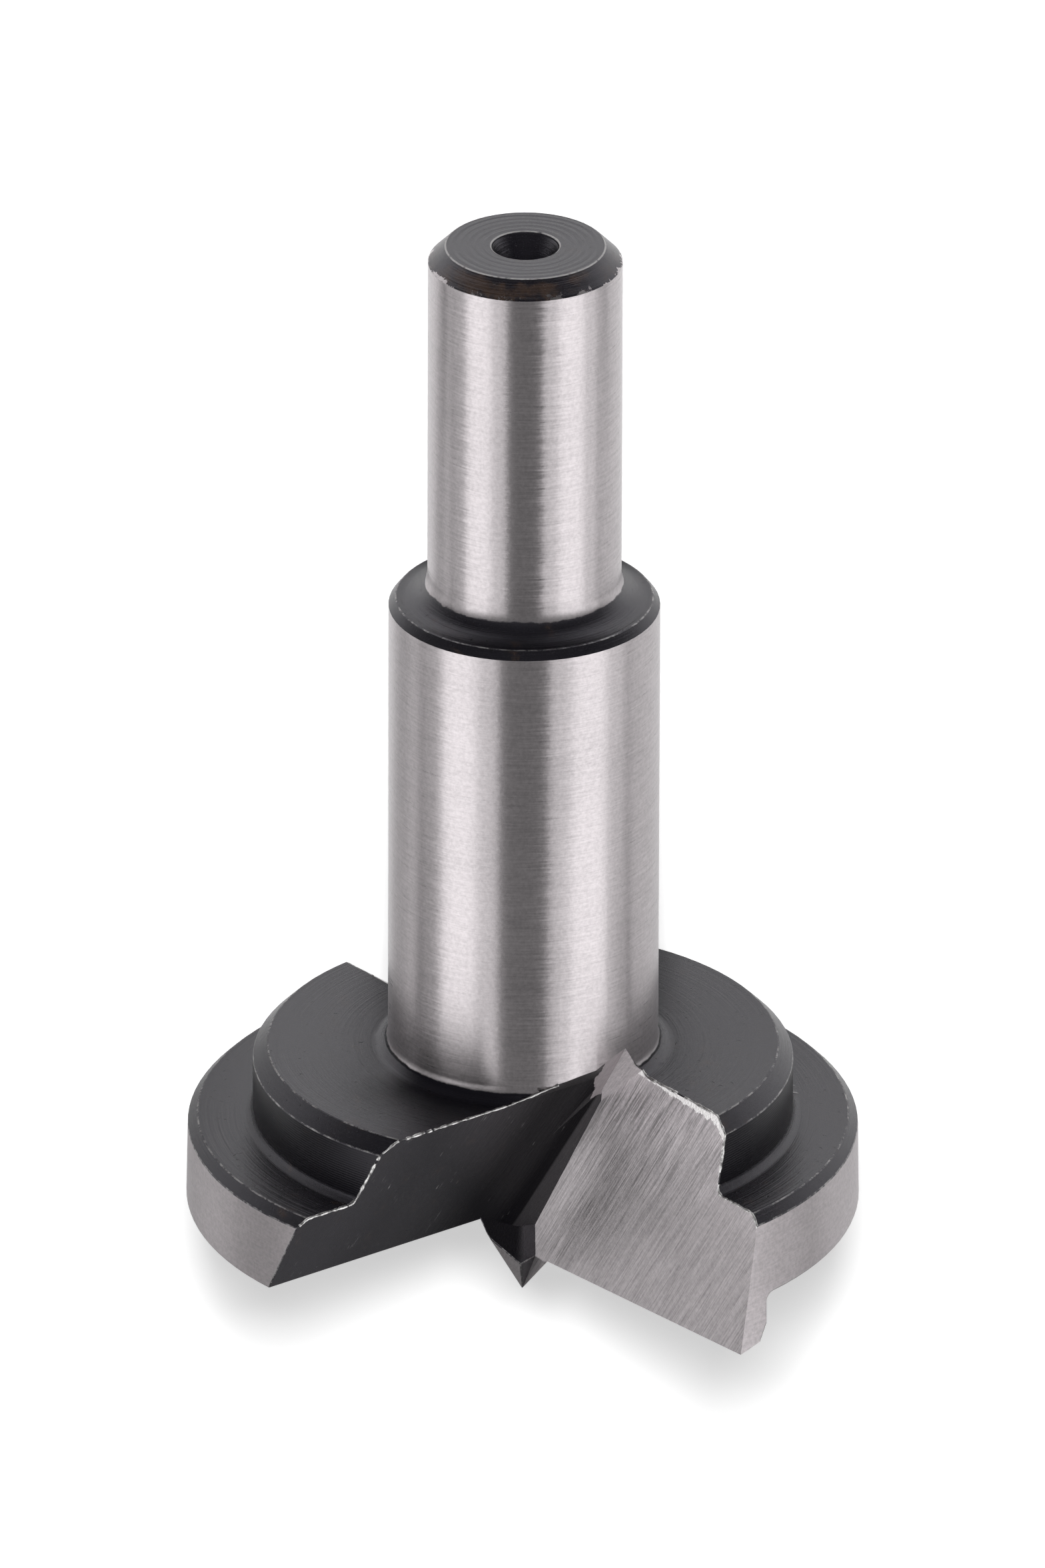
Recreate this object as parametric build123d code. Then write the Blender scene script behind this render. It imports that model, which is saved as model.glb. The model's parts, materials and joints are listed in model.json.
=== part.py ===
from build123d import *
from math import acos, atan2, cos, degrees, radians, sin, sqrt, tan
import os

# Forstner bit for 35 mm hinge holes, one piece of tool steel, in millimetres and degrees.
# It is built in the tool frame, with the tip of the centre point at the origin and +Z along the axis
# to the shank end. +X runs outwards along the front cutting edge, whose rake face looks towards -Y.
# It is then laid down as it comes to rest, with +Z up and the shank end towards +Y.

# Shank and neck, turned and then ground
overall_length = 59.6
shank_radius = 5.0
shank_end_chamfer = 0.88
shank_fillet = 1.4
neck_radius = 7.0
neck_top = 39.78
neck_chamfer_width = 0.36
neck_chamfer_height = 0.45
neck_fillet = 0.8

# Centre hole in the shank end, with its 60 degree countersink
countersink_radius = 1.77
countersink_half_angle = 30.0
pilot_radius = 0.8
pilot_depth = 3.4
pilot_tip_half_angle = 59.0

# Head, a stepped disc: a hub over a wider tier whose rim guides the bit in its hole
hub_radius = 14.0
hub_top = 14.24
hub_chamfer = 0.76
tier_top = 10.27
tier_fillet = 0.45
rim_radius = 17.5
rim_chamfer = 0.5
rim_back_taper = 1.0
underside = 5.68

# Cutting ridges that hang below the disc, one for each wing
edge_height_at_axis = 1.93
edge_rise = 2.5
relief_angle = 13.3
ridge_thickness = 2.35
ridge_foot_fillet = 0.5
front_ridge_start = 0.0
rear_ridge_start = 4.7
ridge_end_direction = 150.0
heel_cut_direction = 62.8
heel_cut_lean = -23.1
heel_cut_depth = 0.36

# Gullets, milled as oblique notches. A direction is where a face looks, seen from the shank end,
# and a lean is how far it tips up from upright. Reaches are taken from the tool axis at the level
# of the underside, and depths inwards from the neck at the level of the hub top.
front_rake_direction = -90.0
front_rake_lean = 9.84
rear_rake_direction = -88.95
rear_rake_lean = 4.06
back_direction = -1.83
back_lean = -25.47
back_reach = 1.45
root_direction = 6.3
root_lean = -25.1
root_reach = 1.301
run_out_lean = -48.1
run_out_depth = 1.38
wheel_side_direction = 14.7
wheel_side_lean = -33.4
wheel_side_depth = 1.25
wheel_edge_direction = -47.45
wheel_edge_lean = -30.24
wheel_edge_depth = 4.38

# Centre point, a pyramid ground on the web that is left between the two gullets
point_side_direction = -117.3
point_side_lean = -27.1
point_end_direction = -34.1
point_end_lean = -34.3
shoulder_lean = -20.8
shoulder_reach = 2.79
web_direction = 18.67
web_lean = 9.78
web_reach_at_tip = 1.076
web_facet_direction = 16.8
web_facet_lean = -19.4

# A block larger than the tool, for cutting with a plane
block_size = 120.0


def face(direction, lean, reach=0.0, height=0.0):
    """Plane of a milled or ground face that looks outwards in the direction given, seen from the
    shank end, tips up by the lean, and lies at the reach from the tool axis at the height."""
    across = (cos(radians(direction)), sin(radians(direction)))
    normal = (across[0] * cos(radians(lean)), across[1] * cos(radians(lean)), sin(radians(lean)))
    return Plane(origin=(reach * across[0], reach * across[1], height), z_dir=normal)


def block(alignment):
    """Block larger than the tool, above or below the XY plane."""
    return Box(block_size, block_size, block_size, align=(Align.CENTER, Align.CENTER, alignment))


def space_over(plane):
    """Everything on the side that the plane looks to."""
    return plane * block(Align.MIN)


def space_under(plane):
    """Everything on the steel side of the plane."""
    return plane * block(Align.MAX)


def hollow_corner(corner, radius):
    """Fillet arc in the turned profile, from the wall above the corner to the floor beside it."""
    RadiusArc((corner[0], corner[1] + radius), (corner[0] + radius, corner[1]), -radius)


def half_turn(shape):
    """The same shape on the opposite side of the tool axis."""
    return Rot(0, 0, 180) * shape


def edge_height_at(distance):
    """Height of the cutting edge at a distance from the tool axis."""
    return edge_height_at_axis + distance * tan(radians(edge_rise))


def rim_radius_at(height):
    """The rim tapers back, so that only the cutting corners have the full radius."""
    return rim_radius - (height - edge_height_at(rim_radius)) * tan(radians(rim_back_taper))


def turned_blank():
    """Shank, neck, hub and tier in one turned profile, with the centre hole in the shank end.
    The head is still full depth here, down to the level of the tip of the centre point."""
    rim_top = tier_top - rim_chamfer
    rim_top_radius = rim_radius_at(rim_top)
    pilot_bottom = overall_length - pilot_depth
    drill_tip = pilot_bottom - pilot_radius / tan(radians(pilot_tip_half_angle))
    countersink_depth = (countersink_radius - pilot_radius) / tan(radians(countersink_half_angle))
    countersink_bottom = overall_length - countersink_depth
    with BuildPart() as turned:
        with BuildSketch(Plane.XZ):
            with BuildLine():
                Polyline(
                    (hub_radius + tier_fillet, tier_top),
                    (rim_top_radius - rim_chamfer, tier_top),
                    (rim_top_radius, rim_top),
                    (rim_radius_at(0), 0),
                    (0, 0),
                    (0, drill_tip),
                    (pilot_radius, pilot_bottom),
                    (pilot_radius, countersink_bottom),
                    (countersink_radius, overall_length),
                    (shank_radius - shank_end_chamfer, overall_length),
                    (shank_radius, overall_length - shank_end_chamfer),
                    (shank_radius, neck_top + shank_fillet),
                )
                hollow_corner((shank_radius, neck_top), shank_fillet)
                Polyline(
                    (shank_radius + shank_fillet, neck_top),
                    (neck_radius - neck_chamfer_width, neck_top),
                    (neck_radius, neck_top - neck_chamfer_height),
                    (neck_radius, hub_top + neck_fillet),
                )
                hollow_corner((neck_radius, hub_top), neck_fillet)
                Polyline(
                    (neck_radius + neck_fillet, hub_top),
                    (hub_radius - hub_chamfer, hub_top),
                    (hub_radius, hub_top - hub_chamfer),
                    (hub_radius, tier_top + tier_fillet),
                )
                hollow_corner((hub_radius, tier_top), tier_fillet)
            make_face()
        revolve(axis=Axis.Z)
    return turned.part


def ridge(start):
    """Cutting ridge from the start radius to past the rim: a relieved flank behind the edge, an
    upright heel that runs out into the underside in a small fillet, and a cut off heel corner."""
    foot = ridge_thickness + ridge_foot_fillet
    fillet_top = underside - ridge_foot_fillet
    with BuildPart() as bar:
        with BuildSketch(Plane.YZ):
            with BuildLine():
                Polyline(
                    (foot, underside),
                    (foot, tier_top),
                    (0, tier_top),
                    (0, 0),
                    (ridge_thickness, 0),
                    (ridge_thickness, fillet_top),
                )
                RadiusArc((foot, underside), (ridge_thickness, fillet_top), -ridge_foot_fillet)
            make_face()
        extrude(amount=rim_radius + rim_chamfer)
    flank_slopes = (-tan(radians(edge_rise)), -tan(radians(relief_angle)), 1)
    flank = Plane(origin=(0, 0, edge_height_at_axis), z_dir=flank_slopes)
    inner_end = face(ridge_end_direction, 0, start * cos(radians(ridge_end_direction)))
    heel_length = sqrt(rim_radius**2 - ridge_thickness**2)
    heel_height = edge_height_at(heel_length) + ridge_thickness * tan(radians(relief_angle))
    heel_angle = radians(heel_cut_direction)
    heel_reach = heel_length * cos(heel_angle) + ridge_thickness * sin(heel_angle) - heel_cut_depth
    heel_cut = face(heel_cut_direction, heel_cut_lean, heel_reach, heel_height)
    return bar.part & space_over(flank) & space_under(inner_end) & space_under(heel_cut)


def chips_under_disc(kept):
    """All that is milled away below the disc, around the shapes that are kept."""
    waste = Pos(0, 0, underside) * block(Align.MAX)
    for shape in kept:
        waste -= shape
    return waste


def centre_point():
    """Four-sided pyramid below the disc, whose tip is the origin."""
    point = Cylinder(neck_radius, tier_top, align=(Align.CENTER, Align.CENTER, Align.MIN))
    for side in [
        face(point_side_direction, point_side_lean),
        face(point_side_direction, shoulder_lean, shoulder_reach, underside),
        face(point_end_direction, point_end_lean),
    ]:
        point &= space_under(side)
        point &= half_turn(space_under(side))
    return point


def gullet(rake_direction, rake_lean, point):
    """Notch in front of a cutting edge. The rake face passes through the tip of the centre point.
    The milled back face ends in a shallow run-out in the neck. The wheel that dressed the rake
    face left a narrow flat along the root, and its side and edge left two facets at the neck.
    What it leaves of the centre point is the web."""
    milled = space_over(face(back_direction, back_lean, back_reach, underside))
    milled &= space_over(face(back_direction, run_out_lean, neck_radius - run_out_depth, hub_top))
    dressed = space_over(face(root_direction, root_lean, root_reach, underside))
    wheel_side_reach = neck_radius - wheel_side_depth
    dressed &= space_over(face(wheel_side_direction, wheel_side_lean, wheel_side_reach, hub_top))
    wheel_edge_reach = neck_radius - wheel_edge_depth
    notch = (milled + dressed) & space_over(face(rake_direction, rake_lean))
    notch &= space_over(face(wheel_edge_direction, wheel_edge_lean, wheel_edge_reach, hub_top))
    web = point & space_under(face(web_direction, web_lean, web_reach_at_tip))
    web &= space_under(face(web_facet_direction, web_facet_lean))
    return notch - web


def forstner_bit():
    """The whole bit in the tool frame."""
    point = centre_point()
    front_ridge = ridge(front_ridge_start)
    rear_ridge = half_turn(ridge(rear_ridge_start))
    bit = turned_blank() - chips_under_disc([front_ridge, rear_ridge, point])
    bit -= gullet(front_rake_direction, front_rake_lean, point)
    bit -= half_turn(gullet(rear_rake_direction, rear_rake_lean, point))
    return bit


def corner_on_rim(direction, lean, reach, height, side):
    """Plan angle of the point where a gullet face meets the upper edge of the rim. The side is 1
    for the left end of the face's trace and -1 for the right end, seen from the shank end."""
    level = tier_top - rim_chamfer
    reach_at_level = reach - (level - height) * tan(radians(lean))
    return direction + side * degrees(acos(reach_at_level / rim_radius_at(level)))


def laid_down(bit):
    """The bit at rest on three points: the two upper rim corners of the rear gullet, and the edge
    of the chamfer at the shank end. The middle of the foot of its bounding box is the origin."""
    rake_corner = corner_on_rim(180 + rear_rake_direction, rear_rake_lean, 0, 0, 1)
    back_corner = corner_on_rim(180 + back_direction, back_lean, back_reach, underside, -1)
    down = (rake_corner + back_corner) / 2
    level = tier_top - rim_chamfer
    head_drop = rim_radius_at(level) * cos(radians(rake_corner - back_corner) / 2)
    dip = degrees(atan2(head_drop - shank_radius, overall_length - shank_end_chamfer - level))
    lying = Rot(-90 - dip, 0, 0) * Rot(0, 0, 90 - down) * bit
    box = lying.bounding_box()
    return Pos(-box.center().X, -box.center().Y, -box.min.Z) * lying


bit = laid_down(forstner_bit())
os.makedirs("parts", exist_ok=True)
export_step(bit, "parts/forstner_bit.step")
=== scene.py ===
import json
import math

import bmesh
import bpy
from bpy.props import FloatProperty, FloatVectorProperty, IntProperty, PointerProperty
from mathutils import Matrix, Vector


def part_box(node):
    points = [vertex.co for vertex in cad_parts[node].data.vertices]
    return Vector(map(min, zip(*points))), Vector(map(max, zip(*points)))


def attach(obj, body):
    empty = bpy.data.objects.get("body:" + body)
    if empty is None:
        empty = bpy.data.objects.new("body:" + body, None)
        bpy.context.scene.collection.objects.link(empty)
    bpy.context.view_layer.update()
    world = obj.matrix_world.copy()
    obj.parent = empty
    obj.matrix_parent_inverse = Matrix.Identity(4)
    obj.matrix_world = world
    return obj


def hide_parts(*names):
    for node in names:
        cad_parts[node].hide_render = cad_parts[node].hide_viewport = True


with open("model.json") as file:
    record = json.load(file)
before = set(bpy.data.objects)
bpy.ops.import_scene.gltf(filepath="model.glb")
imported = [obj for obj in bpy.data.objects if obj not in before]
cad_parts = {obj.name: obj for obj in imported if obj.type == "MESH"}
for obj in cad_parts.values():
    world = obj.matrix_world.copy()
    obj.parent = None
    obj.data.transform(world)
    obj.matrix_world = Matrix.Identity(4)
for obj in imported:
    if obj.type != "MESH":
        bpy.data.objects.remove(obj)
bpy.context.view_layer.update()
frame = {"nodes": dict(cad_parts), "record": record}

bl_info = {
    "name": "Forstner bit dresser",
    "version": (1, 0, 0),
    "blender": (4, 5, 0),
    "location": "3D View > Sidebar > Forstner bit",
    "description": "Finishes the steel of a forstner bit and sets the studio for it",
    "category": "Object",
}

NODE = "forstner_bit"
BODY = "root"
MM = 0.001

# Heights on the tool axis, in mm above the centre point's tip
POINT_TOP = 2.02
BURR_LOW = 9.0
TIER_TOP = 10.27
HUB_TOP = 14.24
NECK_FOOT = 14.7
NECK_LOW = 20.0
SHANK_FOOT = 40.6
SHANK_MIDDLE = 50.0
END_FACE = 59.6

# Other sizes of the turned body, in mm
SHANK_RADIUS = 5.0
END_CHAMFER = 0.88
END_RADIUS = 4.0
NECK_RADIUS = 7.0
HUB_RADIUS = 14.0
HUB_CHAMFER = 0.76
RIM_RADIUS = 17.5

# Flat faces of the front half as the tool stands: plan direction and lean in degrees, and finish. The rear
# half is the front one turned round, apart from its rake
FLATS = {
    "rake": (-90.0, 9.84, "ground_rake"),
    "back": (-1.83, -25.47, "milled_oxide"),
    "root": (6.3, -25.1, "milled_oxide"),
    "run_out": (-1.83, -48.1, "milled_oxide"),
    "wheel_side": (14.7, -33.4, "wheel_run_out"),
    "wheel_edge": (-47.45, -30.24, "wheel_facet"),
    "point_side": (-117.3, -27.1, "point_facet"),
    "point_end": (-34.1, -34.3, "point_facet"),
    "land": (79.54, -76.48, "point_facet"),
}
REAR_RAKE = (91.05, 4.06)

# How each half of the tool is turned from the front one
TURNS = {"front": Matrix.Identity(3), "rear": Matrix.Rotation(math.pi, 3, "Z")}

# Finishes of the round faces, and all finishes in the order of the body's slots
CYLINDERS = {SHANK_RADIUS: "ground_cylinder", NECK_RADIUS: "ground_cylinder", RIM_RADIUS: "ground_rim"}
FLAT_FINISHES = ("ground_rake", "milled_oxide", "wheel_run_out", "wheel_facet", "point_facet")
FINISHES = (
    "black_oxide",
    "turned_wall",
    "ground_cylinder",
    "ground_rim",
    *(f"{side}_{finish}" for finish in FLAT_FINISHES for side in TURNS),
    "bare_edge",
)

# How a face is told: the least cosine to a flat's normal and the least area of a flat, the most that an
# upright face leans, the least that it faces outwards, and how far its centre may be off its cylinder in mm
FLAT_TOLERANCE = 0.9995
SMALLEST_FLAT = 0.3 * MM * MM
UPRIGHT_LEAN = 0.05
OUTWARD_TURN = 0.98
RADIUS_SLACK = 0.15

# Corners nearer than the first are one corner, in metres. Facets that meet at less than the second are one
# face, and ground flats that meet at more than the third have a sharp edge
SMALLEST_FACET = 0.002 * MM
FACET_ANGLE = math.radians(0.05)
FLAT_ANGLE = math.radians(2.0)

# The patch by the neck that the rake's wheel bared: two points on its border in the front gullet, in mm
PATCH_UPPER = (6.1, 0.17, 14.65)
PATCH_LOWER = (4.7, 0.85, 12.75)
PATCH_FOOT = 12.35

# A point on the front gullet's root, and two on the line where its back meets the root, in mm
ROOT_PLACE = (3.463, 0.134, 10.283)
CREASE_LOWER = (1.115, -1.214, 5.059)
CREASE_UPPER = (4.445, 1.401, 12.58)

# Middle of the front gullet's upper edges, where the burr is thickest, in mm, and how it thins out from there
BURR_MIDDLE = (7.0, -5.0, 14.0)
BURR_FALL = ((21.0 * MM, 15.0 * MM), (0.15, 1.0))
BURR_BEADS = ((0.35, 0.7), (0.4, 1.0))
GAP_LEVELS = (0.3, 0.7)

# Directions of the lines that the wheels left on the front rake and on the centre point
RAKE_LINES = (0.4675, 0.1504, 0.871)
POINT_LINES = (0.62, -0.35, 0.70)

# Lengths of ground lines and of turned rings in mm, the pitch of the rim's lines as a share of the shank's,
# and the pitch of the rings on the end face
SHANK_LINE_LENGTH = 1.8
RIM_LINE_LENGTH = 1.2
RING_LENGTH = 12.0
RIM_LINE_SHARE = 0.8
END_RING_PITCH = 0.42

# Half the width of the blur between two finishes, in mm: on turned faces, at the patch, at torn steel and
# at the shank's end face
BLUR = 0.05
PATCH_BLUR = 0.03
TORN_BLUR = 0.02
END_BLUR = 0.1

# The painted dark reflection in the corner between hub and neck, on one side of the neck only: plan
# direction, and the radii and cosines where it starts and is full
DARK_REFLECTION_DIRECTION = -68.0
DARK_REFLECTION_RADII = (12.5, 7.6)
DARK_REFLECTION_FACING = (0.80, 0.97)

# Ramps: the two places in mm between which a look changes, and its two levels. The gullet's are measured
# from its crease, the rim's from the plane between the rakes and the rake's along the axis
# The gullet's ramps are painted light and shade in its gloss: brighter at the mouth, darker towards the
# crease, a dim strip on the root
GULLET_SHADES = (
    ((-14.0, -10.0), (1.5, 1.0)),
    ((-9.5, -3.5), (1.0, 0.09)),
    ((-2.6, -0.6), (1.0, 0.15)),
)
ROOT_SHADE = ((0.05, 0.35), (0.0, 0.3))
RIM_LIFT = ((6.5, 4.0), (1.06, 1.42))
# The rake's ramp is painted light: its steel is made brighter upwards
RAKE_PAINTED_LIFT = ((6.0, 14.5), (0.88, 1.58))

# Refractive index of black oxide and tint of its gloss
OXIDE_IOR = 1.63
OXIDE_TINT = (0.93, 0.89, 1.0)

# Noise levels at which a pattern starts and is full, and the size of the pits in mm
GRAIN_LEVELS = (0.3, 0.7)
LINE_LEVELS = (0.32, 0.68)
PIT_LEVELS = (0.74, 0.77)
PIT_SIZE = 0.35
SCRATCH_LEVELS = (0.76, 0.79)
SCRATCH_AREAS = (0.56, 0.66)
BROWN_LEVELS = (0.57, 0.76)
NICK_LEVELS = (0.46, 0.66)
WORN_LEVELS = (0.42, 0.66)
BEAD_LEVELS = (0.34, 0.54)

# Lights stand round the bit at this distance, in metres. The panels run along it between these two places
PANEL_DISTANCE = 0.5
PANEL_START = -0.50
PANEL_END = 0.06

# Panels: the angles from overhead at which each one starts and ends, and the setting with its radiance
PANELS = {
    "left_panel": (-20.0, -72.0, "panel_radiance"),
    "left_low_panel": (-72.0, -89.0, "low_radiance"),
    "right_panel": (20.0, 90.0, "panel_radiance"),
    "left_heart": (-38.0, -68.0, "heart_radiance"),
    "right_heart": (38.0, 70.0, "heart_radiance"),
}

# Lamps that reflections don't show: the direction of each one and its width, in metres
LAMPS = {
    "key": ((0.0, 0.64, 0.77), 0.10),
    "fill": ((0.0, 0.2, 0.98), 0.6),
}

# Dark cards: place along the floor, half width and height in metres, and radiance
FLAGS = {
    "head_flag": (-0.055, 0.10, 0.035, 0.2),
    "tail_flag": (0.085, 0.12, 0.07, 0.02),
}

# Where the floor turns dim in reflections, in metres to the right, and by how much at both ends
DIM_FLOOR = {
    "left": ((-0.012, -0.020), (0.28, 0.53)),
    "far_left": ((-0.030, -0.050), (0.0, -0.2)),
    "right": ((0.006, 0.012), (0.0, 0.05)),
}
PAPER = (0.9, 0.9, 0.9)
SENSOR_WIDTH = 36.0
CLIP_RANGE = (0.1, 20.0)

# Power of an area light with a radiance of 1, for each square metre
PANEL_POWER = 4.0


def direction(plan, lean):
    """Unit vector on the standing tool from a plan direction and a lean, in degrees."""
    plan, lean = math.radians(plan), math.radians(lean)
    return Vector((math.cos(plan) * math.cos(lean), math.sin(plan) * math.cos(lean), math.sin(lean)))


def flat_normals():
    """Outward normal of every flat face, by its side and kind."""
    normals = {}
    for kind, (plan, lean, _) in FLATS.items():
        for side, turn in TURNS.items():
            normals[side, kind] = turn @ direction(plan, lean)
    normals["rear", "rake"] = direction(*REAR_RAKE)
    return normals


FLAT_NORMALS = flat_normals()


def placed(side, front):
    """The front half's place or direction, as it is on the side given."""
    return TURNS[side] @ Vector(front)


def tool_matrix(turn):
    """Places the standing tool where it lies: Z along the axis to the shank end, tip at the origin."""
    mount = frame["record"]["mounts"][0]
    axis = Vector(mount["axis"]).normalized()
    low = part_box(NODE)[0]
    middle = Vector(mount["pos_m"])
    tip = middle - axis * ((middle.y - low.y) / axis.y)
    across = Vector((1.0, 0.0, 0.0))
    over = Vector((0.0, -axis.z, axis.y))
    x = across * math.cos(turn) + over * math.sin(turn)
    y = across * math.sin(turn) - over * math.cos(turn)
    matrix = Matrix((x, y, axis)).transposed().to_4x4()
    matrix.translation = tip
    return matrix


class BitSettings(bpy.types.PropertyGroup):
    """Sizes of the cutter body's fine edges"""
    turn: FloatProperty(
        name="Turn", description="Turn of the tool about its axis as it lies on its head",
        default=math.radians(51.392), unit="ROTATION")
    edge_break: FloatProperty(
        name="Edge break", description="Width of the worn strip on each sharp edge",
        default=0.05 * MM, unit="LENGTH")
    edge_angle: FloatProperty(
        name="Edge angle", description="Faces that meet at more than this have a sharp edge",
        default=math.radians(28.0), unit="ROTATION")


class BurrSettings(bpy.types.PropertyGroup):
    """Sizes of the burr that milling leaves along the gullets"""
    step: FloatProperty(
        name="Step", description="Length of one piece of burr", default=0.09 * MM, unit="LENGTH")
    thickness: FloatProperty(
        name="Thickness", description="Thickest burr", default=0.1 * MM, unit="LENGTH")
    wander: FloatProperty(
        name="Wander", description="How far the burr strays from the edge", default=0.03 * MM, unit="LENGTH")
    gaps: FloatProperty(
        name="Gaps", description="Share of the edge with no burr", default=0.08, subtype="FACTOR")
    seed: IntProperty(name="Seed", description="Pattern of the burr", default=3)


class FinishSettings(bpy.types.PropertyGroup):
    """Colours of the finishes, and the pitch of their lines"""
    steel: FloatVectorProperty(
        name="Steel", description="Colour of ground steel", subtype="COLOR", size=3,
        default=(0.465, 0.435, 0.446))
    bright: FloatVectorProperty(
        name="Bright steel", description="Colour of torn and worn edges", subtype="COLOR", size=3,
        default=(0.78, 0.76, 0.76))
    oxide: FloatVectorProperty(
        name="Oxide", description="Colour of black oxide", subtype="COLOR", size=3,
        default=(0.0032, 0.003, 0.004))
    brown: FloatVectorProperty(
        name="Brown", description="Colour of thin oxide", subtype="COLOR", size=3,
        default=(0.016, 0.010, 0.007))
    pit: FloatVectorProperty(
        name="Pit", description="Colour of pits in the oxide", subtype="COLOR", size=3,
        default=(0.002, 0.002, 0.002))
    bead: FloatVectorProperty(
        name="Bead", description="Colour of the burr's bright beads", subtype="COLOR", size=3,
        default=(0.95, 0.94, 0.93))
    line_pitch: FloatProperty(
        name="Line pitch", description="Pitch of the ground lines", default=0.10 * MM, unit="LENGTH")
    ring_pitch: FloatProperty(
        name="Ring pitch", description="Pitch of the turned rings", default=0.135 * MM, unit="LENGTH")


class StudioSettings(bpy.types.PropertyGroup):
    """Camera, floor and lights"""
    camera_rise: FloatProperty(
        name="Camera rise", description="Angle of the view above the tool's cross-section",
        default=math.radians(25.443), unit="ROTATION")
    camera_turn: FloatProperty(
        name="Camera turn", description="Plan direction of the view about the tool axis",
        default=math.radians(51.46), unit="ROTATION")
    camera_roll: FloatProperty(
        name="Camera roll", description="Roll of the camera", default=math.radians(0.1688), unit="ROTATION")
    camera_distance: FloatProperty(
        name="Camera distance", description="From the aim point to the camera", default=1.8592, unit="LENGTH")
    aim_height: FloatProperty(
        name="Aim height", description="Height on the tool axis at the middle of the picture",
        default=29.03 * MM, unit="LENGTH")
    aim_side: FloatProperty(
        name="Aim side", description="Aim point's place beside the axis", default=-0.0683 * MM, unit="LENGTH")
    lens: FloatProperty(name="Lens", description="Focal length in mm for a 36 mm sensor", default=826.9)
    floor_size: FloatProperty(name="Floor", description="Width of the floor", default=4.0, unit="LENGTH")
    panel_radiance: FloatProperty(
        name="Panels", description="Radiance of the wide side panels", default=0.85)
    heart_radiance: FloatProperty(
        name="Panel hearts", description="Extra radiance in their middle", default=0.5)
    low_radiance: FloatProperty(
        name="Low panel", description="Radiance of the panel by the floor", default=0.45)
    key_radiance: FloatProperty(
        name="Key light", description="Radiance of the light over the shank end", default=94.0)
    fill_radiance: FloatProperty(
        name="Fill light", description="Radiance of the light overhead", default=0.35)
    floor_lift: FloatProperty(
        name="Floor lift", description="White added to the floor for the camera", default=0.3)
    world_radiance: FloatProperty(
        name="Room", description="Radiance of the room round the lights", default=0.25)


class ForstnerSettings(bpy.types.PropertyGroup):
    """All settings of the forstner bit"""
    bit: PointerProperty(type=BitSettings)
    burr: PointerProperty(type=BurrSettings)
    finish: PointerProperty(type=FinishSettings)
    studio: PointerProperty(type=StudioSettings)


def settings():
    """Everything that the panel shows."""
    return bpy.context.scene.forstner_bit


def dimmed(colour, share):
    """A share of a colour."""
    return tuple(share * channel for channel in colour)


def opaque(colour):
    """A colour with the fourth number that a socket takes. A linked colour stays as it is."""
    return colour if isinstance(colour, bpy.types.NodeSocket) else (*colour, 1.0)


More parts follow.
